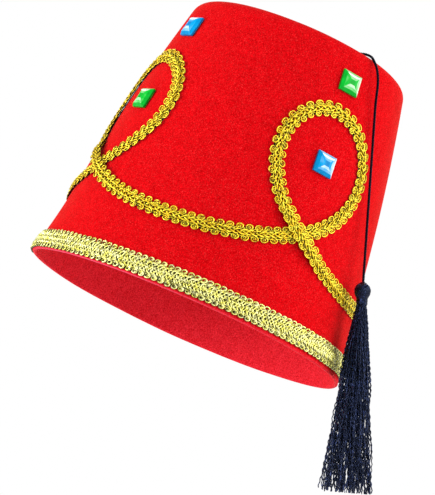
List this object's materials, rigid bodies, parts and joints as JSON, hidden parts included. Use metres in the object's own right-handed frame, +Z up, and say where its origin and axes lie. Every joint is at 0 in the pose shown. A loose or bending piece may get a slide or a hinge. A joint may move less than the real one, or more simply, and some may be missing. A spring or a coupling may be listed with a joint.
{
  "type": "fez hat",
  "caption": "Tall flat-topped fez of red felt, open at the rim, with gilt scroll braid, a gilt rim band, square cut stones and a dark tassel hanging on a cord from the top.",
  "frame": {"origin": "middle of the rim opening, where the hat sits on a head", "axes": "+Z up as worn, and the tassel hangs along -Z; the hat's own axis leans 19.1 degrees from +Z towards +X and 5 degrees back towards +Y; the side with the tassel faces +X and -Y"},
  "size_m": [0.2168, 0.2008, 0.2862],
  "materials": {
    "red_felt": "pressed felt, matt, with a fine fuzz",
    "gilt": "metallic gold gimp braid",
    "pale_gilt": "pale metallic gold gimp braid",
    "blue_paste": "cut and foil backed, high gloss",
    "green_paste": "cut and foil backed, high gloss",
    "navy_silk": "twisted silky yarn with a soft sheen"
  },
  "bodies": {
    "root": {"crown": "red_felt", "rim_band": "pale_gilt", "scroll_braid": "gilt", "gem_loop_1": "blue_paste", "gem_upper_1": "green_paste", "gem_loop_2": "green_paste", "gem_upper_2": "blue_paste", "gem_loop_3": "blue_paste", "gem_upper_3": "green_paste", "gem_loop_4": "green_paste", "gem_upper_4": "blue_paste", "tassel_cord": "navy_silk", "cord_knot": "navy_silk", "tassel": "navy_silk"}
  },
  "joints": []
}
